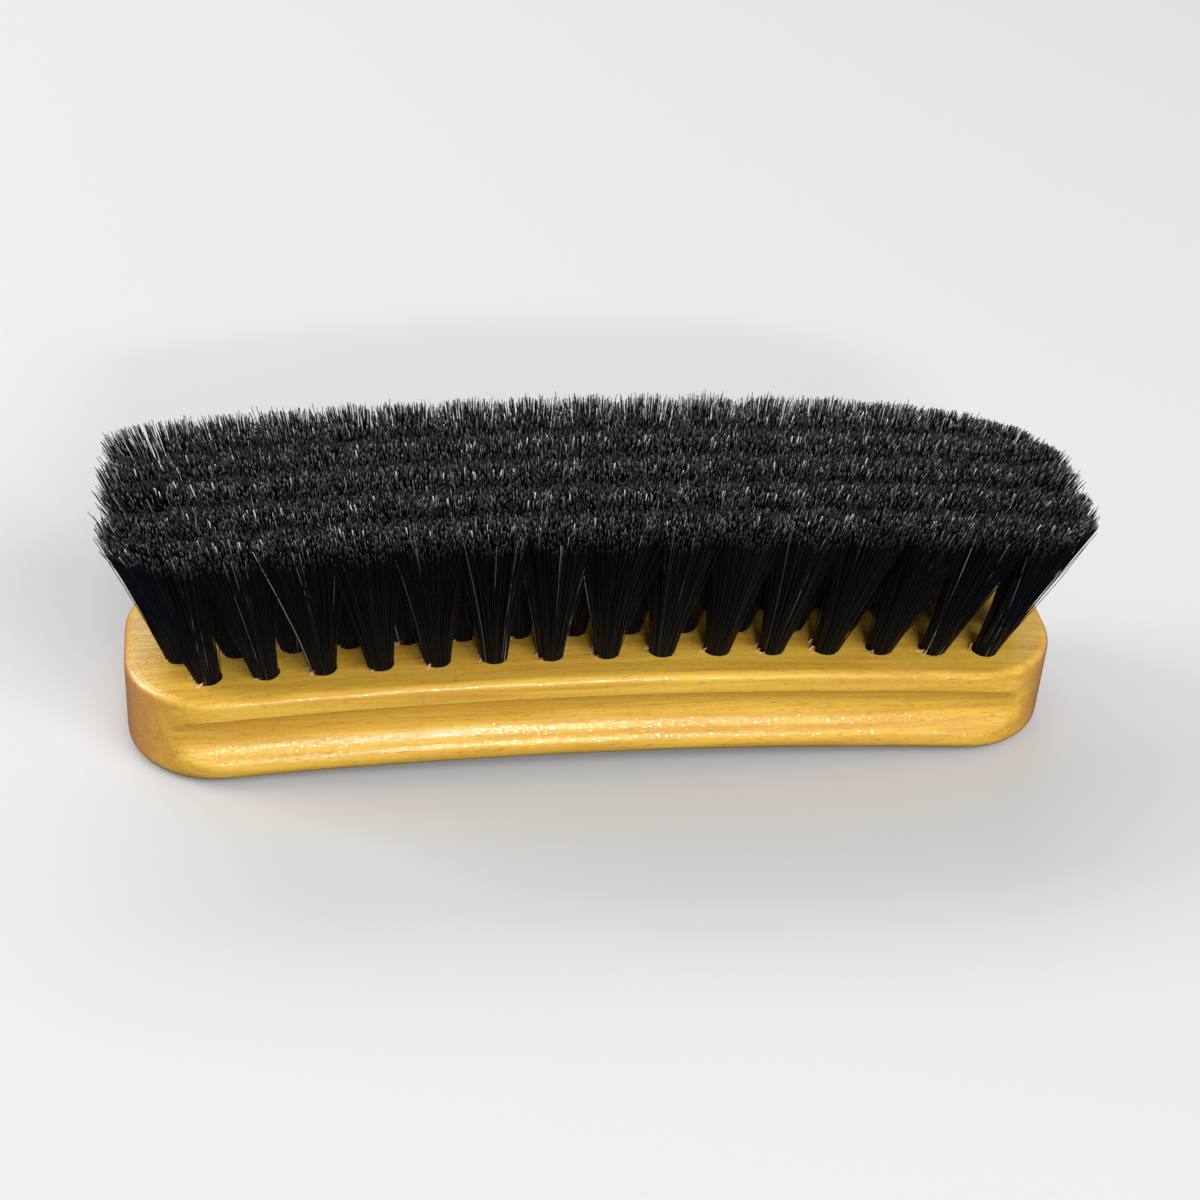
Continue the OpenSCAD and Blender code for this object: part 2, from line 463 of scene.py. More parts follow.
def plain_piece(name, holder):
    """The evaluated holder as a plain mesh of its own; the holder and its modifiers go."""
    holder.update_tag()
    graph = bpy.context.evaluated_depsgraph_get()
    mesh = bpy.data.meshes.new_from_object(holder.evaluated_get(graph), depsgraph=graph)
    mesh.name = name
    holder.modifiers.clear()
    bpy.data.objects.remove(holder)
    return shown(name, mesh)


def lacquered_beech(colours):
    """Beech, moulded, drilled and dipped in clear gloss lacquer.

    Golden wood with soft streaks along the block, short dark ray flecks, warmer end grain
    and open pores, under a wet shine that the lacquer's pebbled skin breaks up.
    """
    material, tree = new_material("lacquered_beech")
    place = add_node(tree, "ShaderNodeTexCoord").outputs
    light, deep = (*colours.wood_light, 1), (*colours.wood_deep, 1)
    end, end_dot = (*colours.wood_end, 1), (*colours.wood_end_dot, 1)
    fleck = (*colours.ray_fleck, 1)

    def grain(length, thickness, detail=2.0, roughness=0.5):
        """Noise drawn out along the block, from the real length and thickness of its marks."""
        scale = (1 / length, 1 / thickness, 1 / thickness)
        stretched = add_node(
            tree, "ShaderNodeMapping", {"Vector": place["Object"], "Scale": scale})
        return add_node(
            tree, "ShaderNodeTexNoise",
            {"Vector": stretched.outputs[0], "Scale": 1.0, "Detail": detail,
             "Roughness": roughness},
        ).outputs["Fac"]

    # Growth rings show as streaks about 2 mm wide and 45 mm long.
    streaks = grain(45 * MM, 2.0 * MM, 3.0, 0.6)
    base = colour_steps(tree, streaks, [(0.36, deep), (0.6, light)])
    # Finer fibres are about 0.5 mm wide.
    fibres = grain(14 * MM, 0.5 * MM)
    base = add_node(
        tree, "ShaderNodeVectorMath", {0: base, 1: ranged(tree, fibres, 0.3, 0.7, 0.9, 1.05)},
        operation="MULTIPLY").outputs[0]
    # Ray flecks of beech are 1 to 3 mm long and 0.2 mm thick.
    flecks = grain(1.7 * MM, 0.17 * MM, 1.0, 0.4)
    base = mixed(tree, ranged(tree, flecks, 0.59, 0.72, 0.0, 0.45), base, fleck)
    # The lacquer soaks into the end grain, which faces along X.
    facing = maths_node(tree, "ABSOLUTE", parted(tree, place["Normal"])[0])
    soaked = ranged(tree, facing, 0.45, 0.95, 0.0, 0.9)
    # Cut across, the fibres show as dots about 0.3 mm wide.
    dots = colour_steps(tree, grain(3 * MM, 0.3 * MM), [(0.34, end_dot), (0.56, end)])
    base = mixed(tree, soaked, base, dots)
    # Pores dent the wood under the lacquer, 0.6 mm long and 0.25 mm wide.
    pores = grain(0.6 * MM, 0.25 * MM, 1.0)
    wood_bump = add_node(
        tree, "ShaderNodeBump", {"Height": pores, "Strength": 0.35, "Distance": 0.05 * MM})
    # The lacquer's own skin is finely pebbled, about 0.5 mm from crest to crest.
    pebbles = grain(0.6 * MM, 0.5 * MM, 1.0)
    coat_bump = add_node(
        tree, "ShaderNodeBump", {"Height": pebbles, "Strength": 1.0, "Distance": 0.12 * MM})
    finish_surface(tree, {
        "Base Color": base,
        "Roughness": 0.42,
        "IOR": 1.5,
        "Normal": wood_bump.outputs[0],
        "Coat Weight": 0.8,
        "Coat Roughness": 0.1,
        "Coat IOR": 1.5,
        "Coat Normal": coat_bump.outputs[0],
    })
    return material


def torn_beech(colours):
    """Raw beech fibre lifted by the drill: matt, paler and pinker than the lacquered wood."""
    material, tree = new_material("torn_beech_fibre")
    place = add_node(tree, "ShaderNodeTexCoord").outputs["Object"]
    # Fibres are about 0.05 mm thick; 0.15 mm is what can show.
    mottle = add_node(
        tree, "ShaderNodeTexNoise", {"Vector": place, "Scale": 1 / (0.15 * MM), "Detail": 1.0})
    colour = colour_steps(
        tree, mottle.outputs["Fac"],
        [(0.35, (*colours.wood_end, 1)), (0.6, (*colours.torn_wood, 1))])
    finish_surface(tree, {"Base Color": colour, "Roughness": 0.8})
    return material


# Where a change sets in: shares of a hair's length, or of the hairs by tone or luck. The grey and bright
# ends are painted highlight and painted glints, and the tone carries painted shade between rows.
GREY_END = (0.974, 0.99)
GLINT_END = (0.945, 0.965)
GLINT_TONE = (0.966, 0.97)
UNDYED = (0.975, 0.995)
# How the painted highlight grey of the cut ends grows with a hair's tone: power, gain and least share
TIP_HIGHLIGHT_GROWTH = (6.0, 0.6, 0.05)


def dyed_horsehair(colours):
    """Horsehair, dyed black, folded into tufts and sheared.

    Near black with a soft sheen along each hair, cut ends painted greyer as a highlight, a few
    with a painted glint, and a few hairs that took little dye. Every hair carries its own tone,
    which painted shade lowers between two rows.
    """
    material, tree = new_material("dyed_horsehair")
    tone_and_shade, along, undyed = (
        add_node(tree, "ShaderNodeAttribute", attribute_name=name).outputs["Fac"]
        for name in ("tone_and_shade", "along", "undyed"))
    dark, tip = (*colours.hair, 1), (*colours.hair_tip_highlight, 1)
    pale = (*colours.hair_pale, 1)
    maths = partial(maths_node, tree)

    # The last half millimetre is painted greyer, more on some hairs: a painted highlight where light
    # catches the cut ends.
    painted_tip_highlight = maths("MULTIPLY_ADD", maths("POWER", tone_and_shade, TIP_HIGHLIGHT_GROWTH[0]), TIP_HIGHLIGHT_GROWTH[1], TIP_HIGHLIGHT_GROWTH[2])
    colour = mixed(tree, maths("MULTIPLY", ranged(tree, along, *GREY_END), painted_tip_highlight), dark, tip)
    # A few ends get a painted glint over a millimetre or two, as if they caught the light.
    bright = maths(
        "MULTIPLY", ranged(tree, along, *GLINT_END), ranged(tree, tone_and_shade, *GLINT_TONE))
    colour = mixed(tree, bright, colour, tip)
    # A few whole hairs took little dye.
    colour = mixed(tree, ranged(tree, undyed, *UNDYED), colour, pale)
    finish_surface(tree, {
        "Base Color": colour,
        "Roughness": 0.4,
        "IOR": 1.55,
        "Specular IOR Level": 0.3,
    })
    return material


def drawn_steel():
    """Staple wire: cold-drawn steel, bright, with fine draw lines round which light runs."""
    material, tree = new_material("drawn_steel_wire")
    place = add_node(tree, "ShaderNodeTexCoord").outputs["Object"]
    # Draw lines are a few hundredths of a millimetre apart; 0.1 mm is what can show.
    lines = add_node(
        tree, "ShaderNodeTexNoise", {"Vector": place, "Scale": 1 / (0.1 * MM), "Detail": 1.0})
    rough = ranged(tree, lines.outputs["Fac"], 0.3, 0.7, 0.22, 0.34)
    finish_surface(tree, {
        "Base Color": linear("#B9BBBD"),
        "Metallic": 1.0,
        "Roughness": rough,
    })
    return material


# How the hair is drawn: lengths in metres, the rest shares, powers and turns
HAIR_POINTS = 4
ROOT_DEPTH = 1.6 * MM
ROOT_PLAY = 0.25 * MM
TIP_LIMIT = (88.2 * MM, 24.6 * MM)
TIP_SQUARENESS = 5.5
CORNER_LOSS = 2.4
CORNER_GAIN = 3.5
RAG = 0.035
WILD_RAG = 0.03
LEAST_OUTNESS = 0.1
TIP_DOME = (0.4 * MM, 1.9 * MM, 0.0)
VALLEY_SHADE = 0.5
COARSE_TONE = 0.968
COARSE_GAIN = 0.7
END_FLARE = 1.2
BACK_FLARE = 1.65
BACK_REACH = 3.0 * MM
WILDEST = 1.5
FAN_POWER = 1.15
ROOT_PULL = 0.05
LEFT_LEAN = 0.72
GOLDEN_TURN = 2.399963
TUFT_TURN = 1.7
JITTER = 0.07
LAST_TUFT = 0.6
LONGER_SHARE = 0.6
SWING = 1.2 * MM
CURL = 0.5 * MM
TIP_TAPER = 0.8
HAIR_INPUTS = (
    ("Tufts", "NodeSocketInt"),
    ("Hairs", "NodeSocketInt"),
    ("Seed", "NodeSocketInt"),
    ("Pitch", "NodeSocketFloat"),
    ("Row", "NodeSocketFloat"),
    ("Tip gain along", "NodeSocketFloat"),
    ("Tip gain across", "NodeSocketFloat"),
    ("Hair length", "NodeSocketFloat"),
    ("Hair radius", "NodeSocketFloat"),
    ("Root radius", "NodeSocketFloat"),
    ("Root pull", "NodeSocketFloat"),
    ("Left lean", "NodeSocketFloat"),
    ("Dome", "NodeSocketVector"),
    ("Limit along", "NodeSocketFloat"),
    ("Limit across", "NodeSocketFloat"),
    ("Spread", "NodeSocketVector"),
    ("Flare across", "NodeSocketFloat"),
    ("Face radius", "NodeSocketFloat"),
    ("Arc height", "NodeSocketFloat"),
    ("Unevenness", "NodeSocketFloat"),
    ("Wild share", "NodeSocketFloat"),
    ("Material", "NodeSocketMaterial"),
)


def growing_tree(name, inputs):
    """An empty geometry tree that takes the named inputs, with the sockets that give them."""
    tree = bpy.data.node_groups.new(name, "GeometryNodeTree")
    tree.interface.new_socket("Geometry", in_out="OUTPUT", socket_type="NodeSocketGeometry")
    for label, kind in inputs:
        tree.interface.new_socket(label, in_out="INPUT", socket_type=kind)
    return tree, add_node(tree, "NodeGroupInput").outputs


def end_growing(tree, given, geometry):
    """Makes a geometry tree's result real, in the given material, and puts it out."""
    geometry = add_node(tree, "GeometryNodeRealizeInstances", {"Geometry": geometry}).outputs[0]
    geometry = add_node(
        tree, "GeometryNodeSetMaterial",
        {"Geometry": geometry, "Material": given["Material"]}).outputs[0]
    add_node(tree, "NodeGroupOutput", {0: geometry})


def counted_tuft(tree, given, each):
    """The index of a point, the number of its tuft and that tuft's place from the row's middle."""
    maths = partial(maths_node, tree)
    index = add_node(tree, "GeometryNodeInputIndex").outputs[0]
    number = maths("FLOOR", maths("DIVIDE", maths("ADD", index, 0.5), each))
    middle = maths("MULTIPLY", maths("SUBTRACT", given["Tufts"], 1), 0.5)
    return index, number, maths("SUBTRACT", number, middle)


def on_face(tree, given, x, y):
    """The place on the bowed, drilled face over the given X and Y."""
    maths = partial(maths_node, tree)
    height = maths("SQRT", maths(
        "SUBTRACT", maths("POWER", given["Face radius"], 2), maths("POWER", x, 2)))
    return joined_node(tree, x, y, maths("ADD", given["Arc height"], height))


def hair_tree():
    """The nodes that grow a row of fanned tufts, hair by hair."""
    tree, given = growing_tree("fanned_hair", HAIR_INPUTS)
    maths, joined = partial(maths_node, tree), partial(joined_node, tree)

    def vectors(operation, *values):
        """A vector worked out from one to three others."""
        return add_node(
            tree, "ShaderNodeVectorMath", dict(enumerate(values)),
            operation=operation).outputs[0]

    def scaled(vector, factor):
        """A vector times a number."""
        return add_node(
            tree, "ShaderNodeVectorMath", {0: vector, "Scale": factor},
            operation="SCALE").outputs[0]

    def dotted(first, second):
        """The dot product of two vectors."""
        return add_node(
            tree, "ShaderNodeVectorMath", {0: first, 1: second},
            operation="DOT_PRODUCT").outputs["Value"]

    def chance(low, high, offset):
        """A random vector for each hair, from the seed."""
        seed = maths("ADD", given["Seed"], offset)
        return add_node(
            tree, "FunctionNodeRandomValue", {0: low, 1: high, 8: seed},
            data_type="FLOAT_VECTOR").outputs[0]

    def kept(geometry, name, value, kind="FLOAT_VECTOR"):
        """The geometry with a value stored on its points."""
        return add_node(
            tree, "GeometryNodeStoreNamedAttribute",
            {"Geometry": geometry, "Name": name, "Value": value}, data_type=kind).outputs[0]

    def recalled(name):
        """A vector stored earlier."""
        return add_node(
            tree, "GeometryNodeInputNamedAttribute", {"Name": name},
            data_type="FLOAT_VECTOR").outputs[0]

    # Which tuft a hair is in, and where that tuft meets the drilled face
    index, number, tuft = counted_tuft(tree, given, given["Hairs"])
    base_x = maths("MULTIPLY", tuft, given["Pitch"])
    base = on_face(tree, given, base_x, given["Row"])
    # The tufts at the left end lean a little less than those at the right
    leftness = maths("LESS_THAN", tuft, 0.0)
    slack = maths("MULTIPLY", leftness, maths("SUBTRACT", 1.0, given["Left lean"]))
    gain = maths("MULTIPLY", given["Tip gain along"], maths("SUBTRACT", 1.0, slack))
    side = joined(maths("MULTIPLY", tuft, gain), given["Tip gain across"], 0.0)

    # The hairs fill a disc evenly, each shifted a little
    turn_number = maths("SUBTRACT", index, maths("MULTIPLY", number, given["Hairs"]))
    radius = maths("SQRT", maths(
        "DIVIDE", maths("ADD", turn_number, 0.5), given["Hairs"]))
    angle = maths(
        "ADD", maths("MULTIPLY", turn_number, GOLDEN_TURN), maths("MULTIPLY", number, TUFT_TURN))
    disc = joined(
        maths("MULTIPLY", maths("COSINE", angle), radius),
        maths("MULTIPLY", maths("SINE", angle), radius), 0.0)
    jitter = chance((-JITTER, -JITTER, 0.0), (JITTER, JITTER, 0.0), 1)
    ring = vectors("ADD", disc, jitter)
    # At the ends of a row the outer hairs flare until they fill the oblong of the tips
    ring_parts = parted(tree, ring)
    at_end = maths("GREATER_THAN", maths("ABSOLUTE", tuft), maths(
        "SUBTRACT", maths("MULTIPLY", given["Tufts"], 0.5), LAST_TUFT))
    outward = maths("GREATER_THAN", maths("MULTIPLY", tuft, ring_parts[0]), 0.0)
    room = maths("SUBTRACT", given["Limit along"], maths(
        "ABSOLUTE", maths("ADD", base_x, maths("MULTIPLY", tuft, gain))))
    spread_x = parted(tree, given["Spread"])[0]
    wanted = maths("MAXIMUM", 1.0, maths("MULTIPLY", maths("DIVIDE", room, spread_x), END_FLARE))
    flare = maths("ADD", 1.0, maths(
        "MULTIPLY", maths("MULTIPLY", at_end, outward), maths("SUBTRACT", wanted, 1.0)))
    # Across the row, the hairs on its outer side flare by the given factor
    outside = maths("GREATER_THAN", maths("MULTIPLY", given["Row"], ring_parts[1]), 0.0)
    flare_across = maths("ADD", 1.0, maths(
        "MULTIPLY", outside, maths("SUBTRACT", given["Flare across"], 1.0)))

    points = add_node(
        tree, "GeometryNodePoints",
        {"Count": maths("MULTIPLY", given["Tufts"], given["Hairs"])}).outputs[0]
    points = kept(points, "base", base)
    points = kept(points, "side", side)
    points = kept(points, "ring", ring)
    points = kept(points, "flare", joined(flare, flare_across, 1.0))
    points = kept(points, "luck", chance((0.0, 0.0, 0.0), (1.0, 1.0, 1.0), 2))
    points = kept(points, "sway", chance((-1.0, -1.0, 0.0), (1.0, 1.0, 0.0), 3))
    points = kept(points, "curl", chance((-1.0, -1.0, 0.0), (1.0, 1.0, 0.0), 4))

    # One curve for each hair
    line = add_node(tree, "GeometryNodeCurvePrimitiveLine").outputs[0]
    line = add_node(
        tree, "GeometryNodeResampleCurve", {"Curve": line, "Count": HAIR_POINTS}).outputs[0]
    hairs = add_node(
        tree, "GeometryNodeInstanceOnPoints", {"Points": points, "Instance": line}).outputs[0]
    hairs = add_node(tree, "GeometryNodeRealizeInstances", {"Geometry": hairs}).outputs[0]

    # Along the hair, 0 is the drilled face and 1 the tip
    factor = add_node(tree, "GeometryNodeSplineParameter").outputs["Factor"]
    sunk = maths("DIVIDE", -ROOT_DEPTH, given["Hair length"])
    along = ranged(tree, factor, 0.0, 1.0, sunk, 1.0)
    above = maths("MAXIMUM", along, 0.0)
    fanned = maths("POWER", above, FAN_POWER)
    luck = parted(tree, recalled("luck"))

    # Wild hairs lean further out
    tame_share = maths("SUBTRACT", 1.0, given["Wild share"])
    wild = ranged(tree, luck[2], tame_share, 1.0, 1.0, WILDEST)
    ring_now = recalled("ring")
    at_root = vectors(
        "ADD", scaled(ring_now, given["Root radius"]), scaled(recalled("side"), given["Root pull"]))
    at_tip = scaled(vectors("MULTIPLY", ring_now, given["Spread"]), wild)
    at_tip = vectors("MULTIPLY", at_tip, recalled("flare"))
    tip_side = vectors("ADD", recalled("side"), at_tip)
    # The tips keep within a rounded oblong, ragged by a few millimetres, whose back corners differ
    tip_place = parted(tree, vectors("ADD", recalled("base"), tip_side))
    at_back = maths("GREATER_THAN", tip_place[1], 0.0)
    back_right = maths("MULTIPLY", maths("GREATER_THAN", tip_place[0], 0.0), at_back)
    back_left = maths("MULTIPLY", maths("LESS_THAN", tip_place[0], 0.0), at_back)
    squareness = maths("SUBTRACT", TIP_SQUARENESS, maths("MULTIPLY", back_right, CORNER_LOSS))
    squareness = maths("ADD", squareness, maths("MULTIPLY", back_left, CORNER_GAIN))
    share_x = maths("POWER", maths(
        "ABSOLUTE", maths("DIVIDE", tip_place[0], given["Limit along"])), squareness)
    limit_y = maths("ADD", given["Limit across"], maths("MULTIPLY", at_back, BACK_REACH))
    share_y = maths("POWER", maths(
        "ABSOLUTE", maths("DIVIDE", tip_place[1], limit_y)), squareness)
    outness = maths("POWER", maths("ADD", share_x, share_y), maths("DIVIDE", 1.0, squareness))
    rag = maths("SUBTRACT", 1.0, maths("MULTIPLY", luck[1], RAG))
    rag = maths("ADD", rag, maths("MULTIPLY", maths("SUBTRACT", wild, 1.0), WILD_RAG))
    kept_share = maths(
        "MINIMUM", 1.0, maths("DIVIDE", rag, maths("MAXIMUM", outness, LEAST_OUTNESS)))
    lost = maths("SUBTRACT", kept_share, 1.0)
    back_in = joined(
        maths("MULTIPLY", tip_place[0], lost), maths("MULTIPLY", tip_place[1], lost), 0.0)
    at_tip = vectors("ADD", at_tip, back_in)

    # A tuft's own side is that of its axis, and its tips form a low dome
    own_side = recalled("side")
    side_square = dotted(own_side, own_side)
    dome_drop = dotted(vectors("MULTIPLY", ring_now, ring_now), given["Dome"])
    cut = maths("MULTIPLY", maths("SUBTRACT", luck[1], LONGER_SHARE), given["Unevenness"])
    cut = maths("SUBTRACT", cut, dome_drop)
    axis_reach = maths("SQRT", maths(
        "SUBTRACT", maths("POWER", given["Hair length"], 2), side_square))
    reach = maths("ADD", axis_reach, cut)

    spot = vectors("ADD", recalled("base"), scaled(recalled("side"), along))
    spot = vectors("ADD", spot, scaled(at_root, maths("SUBTRACT", 1.0, fanned)))
    spot = vectors("ADD", spot, scaled(at_tip, fanned))
    spot = vectors("ADD", spot, joined(0.0, 0.0, maths("MULTIPLY", along, reach)))
    bent = maths("MULTIPLY", above, maths("SUBTRACT", 1.0, above))
    swing = maths("MULTIPLY", maths("POWER", wild, 3.0), SWING)
    spot = vectors("ADD", spot, scaled(recalled("sway"), maths("MULTIPLY", bent, swing)))
    curl = maths("MULTIPLY", maths("POWER", above, 4.0), CURL)
    spot = vectors("ADD", spot, scaled(recalled("curl"), curl))
    hairs = add_node(
        tree, "GeometryNodeSetPosition", {"Geometry": hairs, "Position": spot}).outputs[0]
    # What the material reads: painted shade dulls the tips between two rows, where the rows would shade
    # each other
    hairs = kept(hairs, "along", along, "FLOAT")
    across = parted(tree, ring_now)[1]
    # Painted shade: a hair's random tone falls towards the sides of its tuft
    painted_shade = maths("MULTIPLY", maths("POWER", maths("ABSOLUTE", across), 2.0), VALLEY_SHADE)
    tone_and_shade = maths("MULTIPLY", luck[0], maths("SUBTRACT", 1.0, painted_shade))
    hairs = kept(hairs, "tone_and_shade", tone_and_shade, "FLOAT")
    hairs = kept(hairs, "undyed", luck[1], "FLOAT")

    # A three-sided hair that thins a little towards its tip; the ones whose ends carry a painted glint
    # are coarser
    profile = add_node(
        tree, "GeometryNodeCurvePrimitiveCircle",
        {"Resolution": 3, "Radius": given["Hair radius"]}).outputs[0]
    slim = ranged(tree, along, 0.0, 1.0, 1.0, TIP_TAPER)
    coarse = maths("GREATER_THAN", tone_and_shade, COARSE_TONE)
    thickness = maths("MULTIPLY", slim, maths("ADD", 1.0, maths("MULTIPLY", coarse, COARSE_GAIN)))
    mesh = add_node(
        tree, "GeometryNodeCurveToMesh",
        {"Curve": hairs, "Profile Curve": profile, "Scale": thickness, "Fill Caps": True},
    ).outputs[0]
    end_growing(tree, given, mesh)
    return tree


# The torn fibres: which side of a hole they stand on, how far past its mouth, their size and curl
FIBRES_PER_HOLE = 4
FIBRE_SIZE = (1.1 * MM, 0.35 * MM, 0.1 * MM)
FIBRE_SIDE = (math.radians(125), math.radians(235))
FIBRE_REACH = 0.55 * MM
FIBRE_GROWTH = (0.8, 1.6)
FIBRE_FOOT = 0.5 * MM
FIBRE_CURL = 0.45 / MM
FIBRE_TAPER = 0.9 / MM
FIBRE_ROLL = (-0.5, 0.5)
FIBRE_PITCH = (-0.5, 0.1)
FIBRE_YAW = (-0.9, 0.9)
FIBRE_INPUTS = (
    ("Tufts", "NodeSocketInt"),
    ("Seed", "NodeSocketInt"),
    ("Pitch", "NodeSocketFloat"),
    ("Row", "NodeSocketFloat"),
    ("Hole radius", "NodeSocketFloat"),
    ("Face radius", "NodeSocketFloat"),
    ("Arc height", "NodeSocketFloat"),
    ("Material", "NodeSocketMaterial"),
)


def fibre_tree():
    """The nodes that set a few torn wood fibres on the mouths of a row's holes."""
    tree, given = growing_tree("torn_fibres", FIBRE_INPUTS)
    maths, joined = partial(maths_node, tree), partial(joined_node, tree)

    def chance(low, high, offset):
        """A random number for each fibre, from the seed."""
        seed = maths("ADD", given["Seed"], offset)
        return add_node(
            tree, "FunctionNodeRandomValue", {2: low, 3: high, 8: seed},
            data_type="FLOAT").outputs[1]

    tuft = counted_tuft(tree, given, FIBRES_PER_HOLE)[2]
    # The fibres stand on the left of each hole
    angle = chance(*FIBRE_SIDE, 1)
    reach = maths("ADD", given["Hole radius"], chance(0.0, FIBRE_REACH, 2))
    x = maths("ADD", maths("MULTIPLY", tuft, given["Pitch"]), maths(
        "MULTIPLY", reach, maths("COSINE", angle)))
    y = maths("ADD", given["Row"], maths("MULTIPLY", reach, maths("SINE", angle)))
    points = add_node(
        tree, "GeometryNodePoints",
        {"Count": maths("MULTIPLY", given["Tufts"], FIBRES_PER_HOLE),
         "Position": on_face(tree, given, x, y)}).outputs[0]

    # One fibre: a thin sliver that curls up from the wood
    sliver = add_node(
        tree, "GeometryNodeMeshCube",
        {"Size": FIBRE_SIZE, "Vertices X": 5, "Vertices Y": 2, "Vertices Z": 2}).outputs[0]
    spot = parted(tree, add_node(tree, "GeometryNodeInputPosition").outputs[0])
    curl = maths("MULTIPLY", maths("POWER", maths("ADD", spot[0], FIBRE_FOOT), 2.0), FIBRE_CURL)
    narrow = maths("MULTIPLY", spot[1], maths("MULTIPLY", spot[0], -FIBRE_TAPER))
    sliver = add_node(
        tree, "GeometryNodeSetPosition",
        {"Geometry": sliver, "Offset": joined(0.0, narrow, curl)}).outputs[0]
    angles = joined(chance(*FIBRE_ROLL, 3), chance(*FIBRE_PITCH, 4), chance(*FIBRE_YAW, 5))
    turn = add_node(tree, "FunctionNodeEulerToRotation", {0: angles}).outputs[0]
    size = chance(*FIBRE_GROWTH, 6)
    fibres = add_node(
        tree, "GeometryNodeInstanceOnPoints",
        {"Points": points, "Instance": sliver, "Rotation": turn,
         "Scale": joined(size, size, size)}).outputs[0]
    end_growing(tree, given, fibres)
    return tree


def grown(name, tree, values):
    """A plain mesh piece that the tree grows from the given inputs."""
    holder = shown(name + "_seed", bpy.data.meshes.new(name + "_seed"))
    modifier = holder.modifiers.new("Grow", "NODES")
    modifier.node_group = tree
    for item in tree.interface.items_tree:
        if item.item_type == "SOCKET" and item.in_out == "INPUT":
            modifier[item.identifier] = values[item.name]
    return plain_piece(name, holder)


SHARP_ANGLE = math.radians(32)
# What the hair tree stores only for itself
WORKING_ATTRIBUTES = ("base", "side", "ring", "flare", "luck", "sway", "curl")


class BRUSH_OT_block(bpy.types.Operator):
    """Build the drilled and lacquered block"""

    bl_idname = "brush.block"
    bl_label = "Block"

    def execute(self, context):
        sizes, tufts = context.scene.brush_block, context.scene.brush_tufts
        form = block_form(sizes)
        blank = shown("block_blank", blank_mesh(sizes, form))
        drills = shown("block_drills", drill_mesh(sizes, form, tufts))
        drilling = blank.modifiers.new("Drill", "BOOLEAN")
        drilling.object = drills
        drilling.operation = "DIFFERENCE"
        drilling.solver = "EXACT"
        piece = plain_piece("lacquered_block", blank)
        bpy.data.objects.remove(drills)
        mesh = piece.data
        mesh.materials.clear()
        mesh.materials.append(lacquered_beech(context.scene.brush_colours))
        mesh.shade_smooth()
        mesh.set_sharp_from_angle(angle=SHARP_ANGLE)
        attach(piece, "root")
        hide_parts("block")
        return {"FINISHED"}


class BRUSH_OT_fibres(bpy.types.Operator):
    """Set torn wood fibres on the mouths of the holes"""

    bl_idname = "brush.fibres"
    bl_label = "Torn fibres"

    def execute(self, context):
        sizes, tufts = context.scene.brush_block, context.scene.brush_tufts
        form = block_form(sizes)
        material = torn_beech(context.scene.brush_colours)
        tree = fibre_tree()
        for number, row in enumerate(ROWS, 1):
            piece = grown(f"torn_fibres_{number}", tree, {
                "Tufts": row_count(tufts, row),
                "Seed": 7 * number,
                "Pitch": tufts.pitch,
                "Row": row * tufts.row_spacing,
                "Hole radius": tufts.hole_radius,
                "Face radius": form.bow_radius + sizes.thickness,
                "Arc height": form.arc_z,
                "Material": material,
            })
            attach(piece, "root")
        return {"FINISHED"}


class BRUSH_OT_hair(bpy.types.Operator):
    """Grow the five rows of fanned horsehair"""

    bl_idname = "brush.hair"
    bl_label = "Hair"

    def execute(self, context):
        sizes, tufts = context.scene.brush_block, context.scene.brush_tufts
        form = block_form(sizes)
        material = dyed_horsehair(context.scene.brush_colours)
        tree = hair_tree()
        for number, row in enumerate(ROWS, 1):
            piece = grown(f"hair_row_{number}", tree, {
                "Tufts": row_count(tufts, row),
                "Hairs": tufts.hairs,
                "Seed": 10 * number,
                "Pitch": tufts.pitch,
                "Row": row * tufts.row_spacing,
                "Tip gain along": tufts.tip_pitch - tufts.pitch,
                "Tip gain across": row * (tufts.tip_row_spacing - tufts.row_spacing),
                "Hair length": tufts.hair_length,
                "Hair radius": tufts.hair_radius,
                "Root radius": tufts.hole_radius - ROOT_PLAY,
                "Root pull": ROOT_PULL,
                "Left lean": LEFT_LEAN,
                "Dome": TIP_DOME,
                "Limit along": TIP_LIMIT[0],
                "Limit across": TIP_LIMIT[1],
                "Spread": (tufts.spread_along, tufts.spread_across, 0.0),
                "Flare across": BACK_FLARE if row == ROWS[-1] else 1.0,
                "Face radius": form.bow_radius + sizes.thickness,
                "Arc height": form.arc_z,
                "Unevenness": tufts.unevenness,
                "Wild share": tufts.wild_share,
                "Material": material,
            })
            for name in WORKING_ATTRIBUTES:
                piece.data.attributes.remove(piece.data.attributes[name])
            piece.data.shade_smooth()
            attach(piece, "root")
            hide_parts(f"tuft_row_{number}")
        return {"FINISHED"}


class BRUSH_OT_staples(bpy.types.Operator):
    """Give the staples their drawn wire finish"""

    bl_idname = "brush.staples"
    bl_label = "Staples"

    def execute(self, context):
        wire = drawn_steel()
        for number in range(1, len(ROWS) + 1):
            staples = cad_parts[f"staple_row_{number}"]
            staples.data.materials.clear()
            staples.data.materials.append(wire)
        return {"FINISHED"}


# Where the photograph was taken from, in millimetres and degrees
VIEW_AZIMUTH = -10.3
VIEW_ELEVATION = 35.23
VIEW_ROLL = 4.11
VIEW_DISTANCE = 450.0
VIEW_SHIFT = (-0.8, -18.45)
FOCAL_SHARE = 2390.4 / 1200
SENSOR = 36.0
NEAREST_SEEN = 10 * MM

